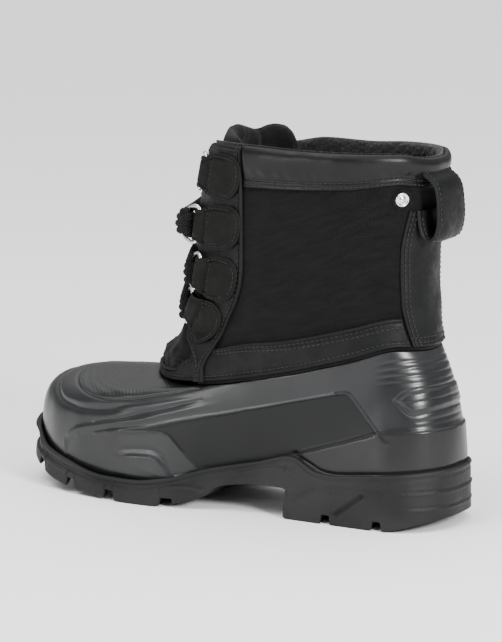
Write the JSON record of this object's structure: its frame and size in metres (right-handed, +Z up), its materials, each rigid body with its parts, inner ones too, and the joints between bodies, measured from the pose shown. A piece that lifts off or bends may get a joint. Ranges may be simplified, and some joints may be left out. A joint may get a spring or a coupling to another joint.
{
  "type": "stable boot",
  "caption": "Lined winter stable boot for the left foot: lugged rubber sole and moulded shell under a textile shaft, with a front lacing through steel rings and a heel pull loop.",
  "frame": {"origin": "on the floor, under the middle of the heel's flat tread", "axes": "+X towards the toe, +Y towards the outer side of the left foot, +Z up"},
  "size_m": [0.3062, 0.1106, 0.2371],
  "materials": {
    "sole_rubber": "matt moulded rubber",
    "shell_rubber": "satin moulded rubber",
    "shaft_textile": "close-woven matt textile",
    "strip_leather": "matt grained leather",
    "collar_leather": "soft leather with a low sheen",
    "lining": "dark fleece",
    "ring_steel": "bright plated steel",
    "lace_cord": "round braided lace"
  },
  "bodies": {
    "root": {"outsole": "sole_rubber", "shell": "shell_rubber", "shaft": "shaft_textile", "insole": "lining", "lower_band": "strip_leather", "facing_outer": "strip_leather", "facing_inner": "strip_leather", "backstay": "strip_leather", "collar_band": "collar_leather", "pull_loop": "strip_leather", "tongue": "shaft_textile", "lace": "lace_cord", "snap_stud": "ring_steel", "lace_tab_outer_1": "strip_leather", "d_ring_outer_1": "ring_steel", "lace_tab_outer_2": "strip_leather", "d_ring_outer_2": "ring_steel", "lace_tab_outer_3": "strip_leather", "d_ring_outer_3": "ring_steel", "lace_tab_outer_4": "strip_leather", "d_ring_outer_4": "ring_steel", "lace_tab_inner_1": "strip_leather", "d_ring_inner_1": "ring_steel", "lace_tab_inner_2": "strip_leather", "d_ring_inner_2": "ring_steel", "lace_tab_inner_3": "strip_leather", "d_ring_inner_3": "ring_steel", "lace_tab_inner_4": "strip_leather", "d_ring_inner_4": "ring_steel"}
  },
  "joints": []
}
